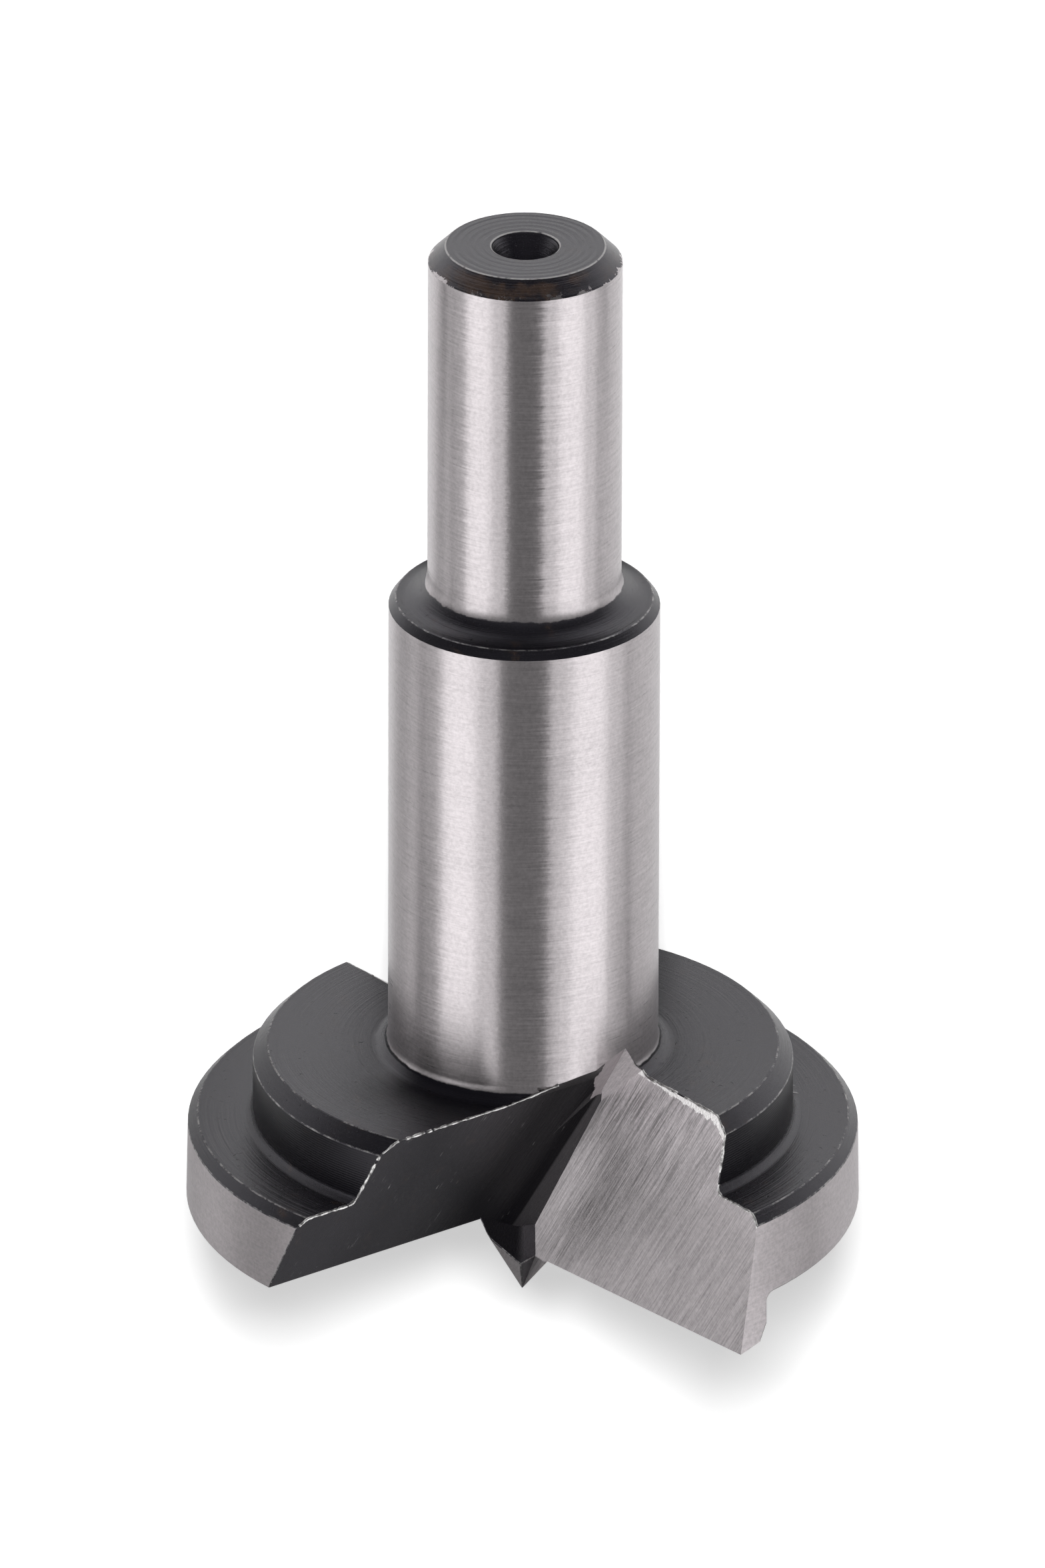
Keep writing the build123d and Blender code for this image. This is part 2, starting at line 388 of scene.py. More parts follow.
class Graph:
    """A node tree with one short call for each node."""

    # Numbers of the mix node's colour sockets
    COLOUR_A, COLOUR_B, COLOUR_OUT = 6, 7, 2

    def __init__(self, tree):
        self.tree = tree
        self.tree.nodes.clear()

    def add(self, kind, inputs=None, **values):
        made = self.tree.nodes.new(kind)
        for name, value in values.items():
            setattr(made, name, value)
        for key, value in (inputs or {}).items():
            if isinstance(value, bpy.types.NodeSocket):
                self.tree.links.new(value, made.inputs[key])
            else:
                made.inputs[key].default_value = value
        return made

    def math(self, operation, *values):
        return self.add("ShaderNodeMath", dict(enumerate(values)), operation=operation).outputs[0]

    def plus(self, first, *others):
        for other in others:
            first = self.math("ADD", first, other)
        return first

    def minus(self, first, second):
        return self.math("SUBTRACT", first, second)

    def times(self, first, *others):
        for other in others:
            first = self.math("MULTIPLY", first, other)
        return first

    def most(self, first, *others):
        for other in others:
            first = self.math("MAXIMUM", first, other)
        return first

    def vector(self, operation, *values):
        made = self.add("ShaderNodeVectorMath", dict(enumerate(values)), operation=operation)
        return made.outputs["Value" if operation in ("LENGTH", "DOT_PRODUCT") else "Vector"]

    def scaled(self, vector, factor):
        made = self.add("ShaderNodeVectorMath", {0: vector, "Scale": factor}, operation="SCALE")
        return made.outputs[0]

    def dot(self, vector, fixed):
        return self.vector("DOT_PRODUCT", vector, tuple(fixed))

    def split(self, vector):
        return self.add("ShaderNodeSeparateXYZ", {0: vector}).outputs

    def join(self, x, y, z):
        return self.add("ShaderNodeCombineXYZ", {0: x, 1: y, 2: z}).outputs[0]

    def step(self, value, low, high):
        """0 below low and 1 above high, smooth between them; falls instead if low is over high."""
        made = self.add(
            "ShaderNodeMapRange", {"Value": value, "From Min": low, "From Max": high},
            interpolation_type="SMOOTHSTEP")
        return made.outputs[0]

    def over(self, value, level, blur=BLUR):
        """1 where the value is over the level."""
        return self.step(value, level - blur, level + blur)

    def under(self, value, level, blur=BLUR):
        """1 where the value is under the level."""
        return self.step(value, level + blur, level - blur)

    def scale(self, value, low, high):
        """Takes 0 to 1 to the range from low to high."""
        return self.add("ShaderNodeMapRange", {"Value": value, "To Min": low, "To Max": high}).outputs[0]

    def ramp(self, value, places, levels):
        """Goes from the first level to the second between the two places."""
        return self.scale(self.step(value, *places), *levels)

    def sway(self, value, reach):
        """Takes 0 to 1 to the range from minus the reach to the reach."""
        return self.scale(value, -reach, reach)

    def noise(self, vector, scale=1.0, detail=2.0, roughness=0.5):
        made = self.add(
            "ShaderNodeTexNoise",
            {"Vector": vector, "Scale": scale, "Detail": detail, "Roughness": roughness})
        return made.outputs["Fac"]

    def mapped(self, vector, **inputs):
        """Coordinates on a grid that is placed, turned and sized as the inputs say."""
        named = {name.capitalize(): value for name, value in inputs.items()}
        return self.add("ShaderNodeMapping", {"Vector": vector, **named}, vector_type="TEXTURE").outputs[0]

    def mix(self, factor, first, second):
        inputs = {0: factor, self.COLOUR_A: opaque(first), self.COLOUR_B: opaque(second)}
        return self.add("ShaderNodeMix", inputs, data_type="RGBA").outputs[self.COLOUR_OUT]

    def bump(self, height, distance):
        return self.add("ShaderNodeBump", {"Height": height, "Distance": distance}).outputs[0]

    def steel(self, colour, metallic, rough, normal, **others):
        inputs = {"Base Color": opaque(colour), "Metallic": metallic, "Roughness": rough, "Normal": normal}
        return self.add("ShaderNodeBsdfPrincipled", {**inputs, **others}).outputs[0]

    def blend(self, factor, first, second):
        return self.add("ShaderNodeMixShader", {0: factor, 1: first, 2: second}).outputs[0]

    def finish(self, surface):
        self.add("ShaderNodeOutputMaterial", {"Surface": surface})


def new_material(name):
    """A material with an empty tree, and the graph that fills it."""
    material = bpy.data.materials.new(name)
    material.use_nodes = True
    return material, Graph(material.node_tree)


def tool_place(graph):
    """Place on the standing tool, in mm from the centre point's tip."""
    matrix = tool_matrix(settings().bit.turn)
    place = graph.add("ShaderNodeTexCoord").outputs["Object"]
    return graph.mapped(place, location=matrix.translation, rotation=matrix.to_euler(), scale=(MM,) * 3)


def new_finish(name, make, *side):
    """The material whose surface the function given makes."""
    material, graph = new_material(name)
    graph.finish(make(graph, tool_place(graph), *side))
    return material


def axis_vector():
    """The tool axis where the tool lies."""
    return tool_matrix(settings().bit.turn).to_3x3() @ Vector((0.0, 0.0, 1.0))


def axis_height(graph, place):
    """Height on the tool axis, in mm."""
    return graph.split(place)[2]


def axis_distance(graph, place):
    """Distance from the tool axis, in mm."""
    x, y, _ = graph.split(place)
    return graph.vector("LENGTH", graph.join(x, y, 0.0))


def line_direction(side, normal):
    """Direction of the wheel's lines on a face with the normal given."""
    along = placed(side, RAKE_LINES)
    return (along - normal * along.dot(normal)).normalized()


def tangent_across(graph, along, normal):
    """Tangent across lines that run along a face, where the tool lies."""
    matrix = tool_matrix(settings().bit.turn).to_3x3()
    return graph.join(*(matrix @ along.cross(normal).normalized()))


def round_lines(graph, place, pitch, length):
    """Noise in lines that run round the tool axis. Pitch and length are in mm."""
    x, y, z = graph.split(place)
    over = graph.math("DIVIDE", axis_distance(graph, place), pitch)
    along = graph.math("DIVIDE", z, pitch)
    far = graph.math("DIVIDE", x, length)
    near = graph.math("DIVIDE", y, length)
    made = graph.add(
        "ShaderNodeTexNoise",
        {"Vector": graph.join(over, along, far), "W": near, "Scale": 1.0, "Detail": 3.0, "Roughness": 0.6},
        noise_dimensions="4D")
    return made.outputs["Fac"]


def line_pitch():
    """Pitch of the ground lines, in mm."""
    return settings().finish.line_pitch / MM


def ring_pitch():
    """Pitch of the turned rings, in mm."""
    return settings().finish.ring_pitch / MM


def turned_rings(graph, place, pitch):
    """Even rings round the tool axis, as a turning tool leaves them. The pitch is in mm."""
    drift = 4.0
    out = graph.plus(axis_distance(graph, place), axis_height(graph, place))
    turns = graph.times(out, 2 * math.pi / pitch)
    wave = graph.math("SINE", graph.plus(turns, graph.times(graph.noise(place, scale=0.5), drift)))
    return graph.times(graph.plus(wave, 1.0), 0.5)


def straight_lines(graph, place, along, across, pitch, length):
    """Noise in straight lines on a flat face whose normal is across. Pitch and length are in mm."""
    side = along.cross(across).normalized()
    basis = Matrix((side, across, along)).transposed()
    lined = graph.mapped(place, rotation=basis.to_euler(), scale=(pitch, 1.0, length))
    return graph.noise(lined, detail=3.0, roughness=0.62)


def swayed_normal(graph, place, lines):
    """Surface normal that each ground line turns a little round the tool axis, more on the shank."""
    neck_sway, shank_sway, fade = 0.06, 0.11, 1.0
    normal = graph.add("ShaderNodeNewGeometry").outputs["Normal"]
    around = graph.vector("CROSS_PRODUCT", tuple(axis_vector()), normal)
    on_shank = graph.step(axis_height(graph, place), SHANK_FOOT - fade, SHANK_FOOT)
    turn = graph.times(graph.minus(lines, 0.5), graph.scale(on_shank, neck_sway, shank_sway))
    return graph.vector("NORMALIZE", graph.vector("ADD", normal, graph.scaled(around, turn)))


def ground_steel(graph, place, lines, tangent, rough=0.30, lift=1.0, contrast=0.09, depth=0.0015,
                 normal=None, metallic=1.0):
    """Ground steel with the given line noise; tangent runs across the lines. The depth is in mm."""
    grain_reach, cloud_reach, rough_reach, mottle_share = 0.09, 0.08, 0.08, 2.0
    grain = graph.step(graph.noise(place, scale=5.0, detail=3.0, roughness=0.7), *GRAIN_LEVELS)
    cloud = graph.noise(place, scale=0.22)
    tone = graph.scale(lines, 1.0 - contrast, 1.0 + contrast)
    tone = graph.plus(tone, graph.sway(grain, grain_reach), graph.sway(cloud, cloud_reach))
    colour = graph.scaled(tuple(settings().finish.steel), graph.times(tone, lift))
    roughness = graph.scale(lines, rough - rough_reach, rough + rough_reach)
    mottle = graph.noise(place, scale=3.5, detail=4.0, roughness=0.65)
    bumped = graph.bump(graph.plus(lines, graph.times(mottle, mottle_share)), depth * MM)
    if normal:
        graph.tree.links.new(normal, bumped.node.inputs["Normal"])
    return graph.steel(colour, metallic, roughness, bumped, Anisotropic=0.75, Tangent=tangent)


def torn_surface(graph, place, colour, metallic=1.0, rough=0.5, grain=12.0, detail=2.0, depth=0.02):
    """Rough bright steel where an edge is torn or worn. The depth is in mm."""
    bumps = graph.noise(place, scale=grain, detail=detail)
    return graph.steel(colour, metallic, rough, graph.bump(bumps, depth * MM))


def fine_scratches(graph, place):
    """1 in a few short slanted scratches, 0 beside them."""
    slanted = graph.mapped(place, rotation=(0.4, 0.5, 0.9), scale=(0.04, 0.9, 0.9))
    where = graph.step(graph.noise(place, scale=0.6, detail=3.0), *SCRATCH_AREAS)
    return graph.times(graph.step(graph.noise(slanted, detail=0.0), *SCRATCH_LEVELS), where)


def oxide_steel(graph, place, lines, depth=0.02, rough=0.23, shade=1.0, scratched=False, rubbed=0.0):
    """Black oxide over machined steel, with pits. Shade turns the gloss down to paint shade into corners,
    rubbed thins it. Depth is in mm.
    """
    full_gloss, line_reach, grain_reach, scratch_share, grain_share = 0.5, 0.3, 0.35, 0.2, 0.4
    rough_below, rough_above = 0.06, 0.10
    finish = settings().finish
    varied = isinstance(shade, bpy.types.NodeSocket)
    gloss = graph.times(shade, full_gloss) if varied else full_gloss * shade
    grain = graph.noise(place, scale=14.0, detail=4.0, roughness=0.75)
    pit = graph.step(graph.noise(place, scale=1.0 / PIT_SIZE, detail=1.0), *PIT_LEVELS)
    tone = graph.plus(graph.scale(lines, 1.0 - line_reach, 1.0 + line_reach), graph.sway(grain, grain_reach))
    thin = graph.plus(graph.noise(place, scale=0.8, detail=5.0, roughness=0.7), rubbed)
    brown = graph.times(graph.step(thin, *BROWN_LEVELS), shade)
    colour = graph.mix(brown, graph.scaled(tuple(finish.oxide), tone), finish.brown)
    if scratched:
        colour = graph.mix(fine_scratches(graph, place), colour, dimmed(finish.bright, scratch_share))
    colour = graph.mix(pit, colour, finish.pit)
    height = graph.minus(graph.plus(lines, graph.times(grain, grain_share)), pit)
    return graph.steel(
        colour, 0.0, graph.scale(grain, rough - rough_below, rough + rough_above),
        graph.bump(height, depth * MM),
        **{"IOR": OXIDE_IOR, "Specular IOR Level": gloss, "Specular Tint": opaque(OXIDE_TINT)})


def ground_cylinder(graph, place):
    """Shank and neck: ground between centres, with lines round the tool."""
    lines = round_lines(graph, place, line_pitch(), SHANK_LINE_LENGTH)
    normal = swayed_normal(graph, place, lines)
    return ground_steel(graph, place, lines, graph.join(*axis_vector()), contrast=0.34, normal=normal)


def ground_rim(graph, place):
    """Rim of the disc: ground a little rougher than the shank, and brighter beside the rakes."""
    lines = round_lines(graph, place, RIM_LINE_SHARE * line_pitch(), RIM_LINE_LENGTH)
    lift = graph.ramp(graph.math("ABSOLUTE", graph.split(place)[1]), *RIM_LIFT)
    return ground_steel(
        graph, place, lines, graph.join(*axis_vector()), rough=0.5, lift=lift, contrast=0.22)


def neck_shade(graph, place, height):
    """Shade of the oxide round the neck: a dark line at its foot, painted shade, and a painted dark
    reflection in the corner before it, on one side only.
    """
    line_low, line_high, line_shade, reflection_height, reflection_shade = 0.16, 0.10, 0.1, 0.5, 0.04
    # Painted shade: a thin dark line on the fillet just below the neck's foot
    line = graph.times(
        graph.step(height, NECK_FOOT - line_low, NECK_FOOT - line_high),
        graph.step(height, NECK_FOOT + BLUR, NECK_FOOT))
    radius = axis_distance(graph, place)
    facing = graph.math("DIVIDE", graph.dot(place, direction(DARK_REFLECTION_DIRECTION, 0.0)), radius)
    # Painted dark reflection: the oxide's gloss turned far down in the corner before the neck, on one side of
    # it only
    dark_reflection = graph.times(
        graph.step(radius, *DARK_REFLECTION_RADII), graph.step(facing, *DARK_REFLECTION_FACING),
        graph.step(height, NECK_FOOT + reflection_height, NECK_FOOT))
    return graph.times(graph.scale(line, 1.0, line_shade), graph.scale(dark_reflection, 1.0, reflection_shade))


def rubbed_chamfer(graph, place, height):
    """How far the oxide on the shank end's chamfer is rubbed thin."""
    low_start, low_end, high_start, high_end, most = 1.1, 0.7, 0.1, 0.3, 0.13
    low = graph.step(height, END_FACE - low_start, END_FACE - low_end)
    high = graph.step(height, END_FACE - high_start, END_FACE - high_end)
    return graph.times(low, high, graph.over(axis_distance(graph, place), END_RADIUS, END_BLUR), most)


def grinding_run_out(graph, place, height, ragged):
    """1 where the grinding of neck and shank ran out over their fillets and over the end's chamfer."""
    clear, nick_width, nick_start = 1.0, 0.3, 0.03
    neck = graph.times(graph.over(height, NECK_FOOT), graph.step(height, NECK_LOW, NECK_LOW - clear))
    shank = graph.times(
        graph.over(graph.plus(height, ragged), SHANK_FOOT),
        graph.step(height, SHANK_MIDDLE, SHANK_MIDDLE - clear))
    nicks = graph.step(graph.noise(place, scale=0.9, detail=5.0, roughness=0.7), *NICK_LEVELS)
    border = graph.plus(graph.times(nicks, nick_width), END_FACE - END_CHAMFER - nick_start)
    end = graph.times(
        graph.step(graph.minus(border, axis_height(graph, place)), 0.0, BLUR),
        graph.step(height, SHANK_MIDDLE, SHANK_MIDDLE + clear),
        graph.over(axis_distance(graph, place), END_RADIUS, END_BLUR))
    return graph.most(neck, shank, end)


def black_oxide(graph, place):
    """Turned faces: black oxide, with the grinding of neck and shank running out over their fillets."""
    ragged_reach, end_ring_reach, end_ring_start, end_ring_full = 0.09, 0.2, 0.2, 0.1
    ragged = graph.sway(graph.noise(place, scale=0.9, detail=5.0, roughness=0.6), ragged_reach)
    height = graph.plus(axis_height(graph, place), ragged)
    end_rings = graph.times(
        graph.sway(turned_rings(graph, place, END_RING_PITCH), end_ring_reach),
        graph.step(height, END_FACE - end_ring_start, END_FACE - end_ring_full))
    rings = graph.plus(round_lines(graph, place, ring_pitch(), RING_LENGTH), end_rings)
    dark = oxide_steel(
        graph, place, rings, depth=0.03, shade=neck_shade(graph, place, height),
        rubbed=rubbed_chamfer(graph, place, height))
    lines = round_lines(graph, place, line_pitch(), SHANK_LINE_LENGTH)
    bright = ground_steel(graph, place, lines, graph.join(*axis_vector()))
    return graph.blend(grinding_run_out(graph, place, height, ragged), dark, bright)


def turned_wall(graph, place):
    """Upright walls of hub and tier: black oxide over the rings that the turning tool left."""
    rings = turned_rings(graph, place, ring_pitch())
    # Shade 0.32 turns the walls' gloss down: painted shade
    return oxide_steel(graph, place, rings, depth=0.004, rough=0.30, shade=0.32)


def crease_shade(graph, place, across, crease):
    """Painted shade and light of the gullet, as gloss: brighter at its mouth, darker from there to the
    crease, and even on the root beyond it.
    """
    beyond = graph.minus(graph.dot(place, across), crease.dot(across))
    back = graph.times(*(graph.ramp(beyond, *ramp) for ramp in GULLET_SHADES))
    return graph.plus(back, graph.ramp(beyond, *ROOT_SHADE))


def milled_oxide(graph, place, side):
    """Gullet back and root: black oxide with fine mill lines along the root."""
    back = FLAT_NORMALS[side, "back"]
    crease = placed(side, CREASE_LOWER)
    along = (placed(side, CREASE_UPPER) - crease).normalized()
    lines = straight_lines(graph, place, along, back, pitch=0.16, length=7.0)
    across = along.cross(back).normalized()
    if across.dot(placed(side, (0.0, 1.0, 0.0))) < 0.0:
        across.negate()
    # Painted shade and light across the gullet, given to the oxide as its gloss
    shade = crease_shade(graph, place, across, crease)
    dark = oxide_steel(graph, place, lines, depth=0.024, rough=0.36, shade=shade, scratched=True)
    return graph.blend(bared_patch(graph, place, side), dark, patch_steel(graph, place, side))


def rake_tone(graph, place, side):
    """Lift and metallic of the rake. The lift is painted light: brighter upwards and beside the root. The
    metallic is low beside the root, and the centre point is darker.
    """
    root_reach, root_heights, root_painted_lift, root_metallic = (3.2, 0.2), (12.0, 6.0), 1.3, 0.45
    point_ragged, point_blur, point_lift, point_metallic = 0.15, 0.06, 0.55, 0.9
    rake_metallic = 0.97
    height = axis_height(graph, place)
    root = FLAT_NORMALS[side, "root"]
    inside = graph.minus(graph.dot(place, root), root.dot(placed(side, ROOT_PLACE)))
    low_root = graph.times(graph.step(inside, *root_reach), graph.step(height, *root_heights))
    ragged = graph.sway(graph.noise(place, scale=2.6, detail=4.0, roughness=0.7), point_ragged)
    point = graph.under(graph.plus(height, ragged), POINT_TOP, point_blur)
    # Painted light: the rake's colour is scaled brighter upwards and beside the root
    lift = graph.times(
        graph.ramp(height, *RAKE_PAINTED_LIFT), graph.scale(low_root, 1.0, root_painted_lift),
        graph.scale(point, 1.0, point_lift))
    metallic = graph.most(
        graph.scale(low_root, rake_metallic, root_metallic), graph.scale(point, 0.0, point_metallic))
    return lift, metallic


def ground_rake(graph, place, side):
    """Rake face: wheel-ground, with long oblique scratches."""
    fine_share, broad_share = 0.75, 0.25
    normal = FLAT_NORMALS[side, "rake"]
    along = line_direction(side, normal)
    fine = straight_lines(graph, place, along, normal, pitch=0.05, length=18.0)
    broad = straight_lines(graph, place, along, normal, pitch=0.24, length=30.0)
    lines = graph.plus(graph.times(fine, fine_share), graph.times(broad, broad_share))
    lift, metallic = rake_tone(graph, place, side)
    ground = ground_steel(
        graph, place, graph.step(lines, *LINE_LEVELS), tangent_across(graph, along, normal),
        rough=0.42, lift=lift, contrast=0.24, depth=0.0025, metallic=metallic)
    bright = settings().finish.bright
    torn = torn_surface(graph, place, bright, metallic=0.4, rough=0.6, grain=7.0, detail=3.0, depth=0.06)
    return graph.blend(torn_band(graph, place), ground, torn)


def torn_band(graph, place):
    """1 in the ragged band along the rake's edge with the hub, which widens to its corner, 0 elsewhere."""
    widest, band_start, band_ragged, wall_ragged, wall_start = 0.42, 6.0, (-0.3, 0.42), (-0.15, 0.3), 0.5
    height = axis_height(graph, place)
    radius = axis_distance(graph, place)
    ragged = graph.noise(place, scale=2.6, detail=4.0, roughness=0.7)
    width = graph.times(graph.step(radius, band_start, HUB_RADIUS), widest)
    width = graph.plus(width, graph.scale(ragged, *band_ragged))
    chamfer = graph.most(graph.minus(radius, HUB_RADIUS - HUB_CHAMFER), 0.0)
    below = graph.minus(graph.minus(HUB_TOP, chamfer), height)
    top = graph.over(graph.minus(width, below), 0.0, TORN_BLUR)
    inside = graph.minus(HUB_RADIUS, radius)
    wall = graph.times(
        graph.over(graph.minus(graph.scale(ragged, *wall_ragged), inside), 0.0, TORN_BLUR),
        graph.under(radius, HUB_RADIUS, TORN_BLUR),
        graph.step(height, TIER_TOP, TIER_TOP + wall_start))
    return graph.most(top, wall)


def wheel_run_out(graph, place, side):
    """Where the rake wheel ran out beside the neck: bright near the neck, oxide below."""
    # Shade 0.1 turns the oxide's gloss far down: painted shade in the corner beside the neck
    dark = oxide_steel(graph, place, round_lines(graph, place, ring_pitch(), RING_LENGTH), shade=0.1)
    return graph.blend(bared_patch(graph, place, side), dark, patch_steel(graph, place, side))


def flat_steel(graph, place, normal, along, pitch, length, **look):
    """Ground steel of a flat face, with the wheel's lines along it. Pitch and length are in mm."""
    lines = straight_lines(graph, place, along, normal, pitch, length)
    return ground_steel(graph, place, lines, tangent_across(graph, along, normal), **look)


def wheel_facet(graph, place, side):
    """Facet at the top of the rake, where the wheel cut into the neck."""
    normal = FLAT_NORMALS[side, "wheel_edge"]
    # Lift 1.6 is painted light: the facet's steel is made brighter than what it mirrors would make it
    return flat_steel(
        graph, place, normal, line_direction(side, normal), pitch=0.06, length=8.0,
        rough=0.45, lift=1.6, contrast=0.4, metallic=0.85)


def patch_steel(graph, place, side):
    """Ground steel of the patch by the neck."""
    return flat_steel(
        graph, place, FLAT_NORMALS[side, "wheel_side"], placed(side, RAKE_LINES),
        pitch=0.12, length=1.5, rough=0.42, lift=0.8, contrast=0.35)


def bared_patch(graph, place, side):
    """1 where the rake wheel bared the gullet beside the neck, 0 elsewhere."""
    ragged_reach = 0.3
    upper, lower = placed(side, PATCH_UPPER), placed(side, PATCH_LOWER)
    normal = FLAT_NORMALS[side, "wheel_side"]
    outwards = (upper - lower).cross(normal).normalized()
    if outwards.dot(placed(side, (1.0, 1.0, 0.0))) < 0.0:
        outwards.negate()
    ragged = graph.sway(graph.noise(place, scale=1.8, detail=4.0, roughness=0.65), ragged_reach)
    beyond = graph.plus(graph.minus(graph.dot(place, outwards), upper.dot(outwards)), ragged)
    above = graph.minus(graph.plus(axis_height(graph, place), ragged), PATCH_FOOT)
    return graph.times(graph.over(beyond, 0.0, PATCH_BLUR), graph.over(above, 0.0, PATCH_BLUR))


def point_facet(graph, place, side):
    """Facets of the centre point and the lands behind the edges: finely ground."""
    along = placed(side, POINT_LINES).normalized()
    return flat_steel(
        graph, place, FLAT_NORMALS[side, "point_end"], along, pitch=0.10, length=2.0,
        rough=0.4, lift=1.3, contrast=0.2)


def bare_edge(graph, place):
    """Sharp edges: oxide worn through in short bright nicks, most at the shank end."""
    bright_share, end_wear, worn_end = 0.5, 0.12, 1.0
    dark = oxide_steel(graph, place, graph.noise(place, scale=5.0, detail=3.0))
    bright = torn_surface(graph, place, dimmed(settings().finish.bright, bright_share))
    near_end = graph.step(axis_height(graph, place), SHANK_MIDDLE, END_FACE - worn_end)
    worn = graph.noise(place, scale=1.1, detail=5.0, roughness=0.72)
    worn = graph.plus(worn, graph.times(near_end, end_wear))
    return graph.blend(graph.step(worn, *WORN_LEVELS), dark, bright)


def make_finishes():
    """All finishes, in the order of FINISHES."""
    plain = (black_oxide, turned_wall, ground_cylinder, ground_rim, bare_edge)
    flat = (ground_rake, milled_oxide, wheel_run_out, wheel_facet, point_facet)
    made = {make.__name__: new_finish(make.__name__, make) for make in plain}
    for side in TURNS:
        for make in flat:
            name = f"{side}_{make.__name__}"
            made[name] = new_finish(name, make, side)
    return [made[name] for name in FINISHES]


def finish_of(face):
    """Name of the finish of a face, from its normal, centre and size on the standing tool."""
    normal, centre = face.normal, face.calc_center_median() / MM
    for (side, kind), flat in FLAT_NORMALS.items():
        if normal.dot(flat) > FLAT_TOLERANCE and face.calc_area() > SMALLEST_FLAT:
            finish = FLATS[kind][-1]
            return f"{side}_{finish}"
    outwards = centre.xy.normalized().dot(normal.xy)
    if abs(normal.z) >= UPRIGHT_LEAN or outwards <= OUTWARD_TURN:
        return "black_oxide"
    for radius, finish in CYLINDERS.items():
        if abs(centre.xy.length - radius) < RADIUS_SLACK:
            return finish
    return "turned_wall"


def merged_steel(matrix):
    """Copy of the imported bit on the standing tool, in metres, with its doubles merged and flats joined."""
    steel = bmesh.new()
    steel.from_mesh(frame["nodes"][NODE].data)
    bmesh.ops.remove_doubles(steel, verts=steel.verts, dist=SMALLEST_FACET)
    bmesh.ops.transform(steel, matrix=matrix.inverted(), verts=steel.verts)
    bmesh.ops.dissolve_limit(steel, angle_limit=FACET_ANGLE, verts=steel.verts, edges=steel.edges)
    steel.normal_update()
    return steel


def finish_numbers(*words):
    """Places in FINISHES of the finishes whose names hold one of the words."""
    return {FINISHES.index(name) for name in FINISHES if any(word in name for word in words)}


def break_edges(steel, sizes):
    """Breaks the outer edges of oxide faces and gives them the worn finish. Other corners stay sharp."""
    oxide = finish_numbers("oxide", "wall")
    bare = finish_numbers("run_out", "cylinder")
    ground = finish_numbers("rake", "facet")
    chosen = []
    for edge in steel.edges:
        kinds = {face.material_index for face in edge.link_faces}
        flats = kinds & ground and len(kinds) == 2
        if edge.calc_face_angle(0.0) < (FLAT_ANGLE if flats else sizes.edge_angle):
            continue
        edge.smooth = False
        if edge.is_convex and kinds & oxide and not kinds & bare:
            chosen.append(edge)
    bmesh.ops.bevel(
        steel, geom=chosen, offset=sizes.edge_break, offset_type="OFFSET", segments=2, profile=0.5,
        affect="EDGES", clamp_overlap=False, material=FINISHES.index("bare_edge"), loop_slide=True)
    for face in steel.faces:
        face.smooth = True


def add_object(name, data):
    """A new object in the scene's own collection."""
    made = bpy.data.objects.new(name, data)
    bpy.context.scene.collection.objects.link(made)
    return made


def to_mesh(name, steel, matrix):
    """The standing tool's bmesh as a mesh where the tool lies."""
    bmesh.ops.transform(steel, matrix=matrix, verts=steel.verts)
    mesh = bpy.data.meshes.new(name)
    steel.to_mesh(mesh)
    steel.free()
    return mesh


class FORSTNER_OT_cutter_body(bpy.types.Operator):
    """Makes the one-piece steel body with its finishes"""
    bl_idname = "forstner.cutter_body"
    bl_label = "Cutter body"

    def execute(self, context):
        sizes = settings().bit
        matrix = tool_matrix(sizes.turn)
        steel = merged_steel(matrix)
        for face in steel.faces:
            face.material_index = FINISHES.index(finish_of(face))
        break_edges(steel, sizes)
        mesh = to_mesh("cutter_body", steel, matrix)
        for material in make_finishes():
            mesh.materials.append(material)
        body = add_object("cutter_body", mesh)
        body.modifiers.new("flat_faces", "WEIGHTED_NORMAL").keep_sharp = True
        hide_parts(NODE)
        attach(body, BODY)
        return {"FINISHED"}


def burr_inputs(tree):
    """Names the tree's inputs."""
    sockets = {
        "Geometry": "Geometry", "Step": "Float", "Thickness": "Float", "Wander": "Float", "Gaps": "Float",
        "Worst place": "Vector", "Seed": "Int"}
    for name, kind in sockets.items():
        tree.interface.new_socket(name, in_out="INPUT", socket_type=f"NodeSocket{kind}")
    tree.interface.new_socket("Geometry", in_out="OUTPUT", socket_type="NodeSocketGeometry")


